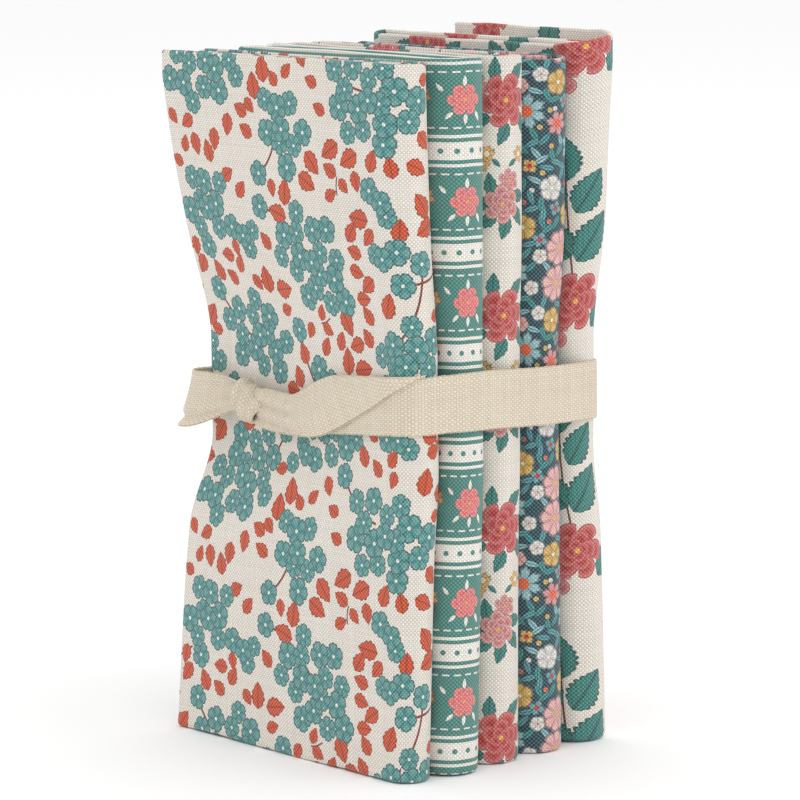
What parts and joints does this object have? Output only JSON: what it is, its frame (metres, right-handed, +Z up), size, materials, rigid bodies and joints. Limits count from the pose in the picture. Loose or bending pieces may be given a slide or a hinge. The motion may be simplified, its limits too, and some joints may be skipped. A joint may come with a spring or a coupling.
{
  "type": "fat quarter bundle",
  "caption": "Folded cuts of printed quilting cotton standing side by side on edge, tied round the middle with a knotted cotton tape.",
  "frame": {"origin": "centre of the bounding box's underside, on the surface that the bundle stands on", "axes": "+Z up along the cuts' height; the cuts stand one behind the other from -Y, the front, to +Y; their folded spines are at +X and their loose ends at -X"},
  "size_m": [0.093, 0.0782, 0.1711],
  "materials": {
    "cream_sprig_cotton": "plain-weave quilting cotton, cream with small teal blossoms and rust leaves",
    "teal_stripe_cotton": "plain-weave quilting cotton, teal with cream stripes, dots and small rosettes",
    "cream_rose_cotton": "plain-weave quilting cotton, cream with pink and red roses",
    "navy_meadow_cotton": "plain-weave quilting cotton, dark teal blue with dense small flowers",
    "cream_leaf_cotton": "plain-weave quilting cotton, cream with teal leaves and red blooms",
    "cotton_tape": "unprinted natural cotton tape in an open basket weave, matt"
  },
  "bodies": {
    "root": {"quarter_1_sprig": "cream_sprig_cotton", "quarter_2_stripe": "teal_stripe_cotton", "quarter_3_rose": "cream_rose_cotton", "quarter_4_meadow": "navy_meadow_cotton", "quarter_5_leaf": "cream_leaf_cotton", "tape_band": "cotton_tape", "tape_knot": "cotton_tape", "tape_tail": "cotton_tape"}
  },
  "joints": []
}
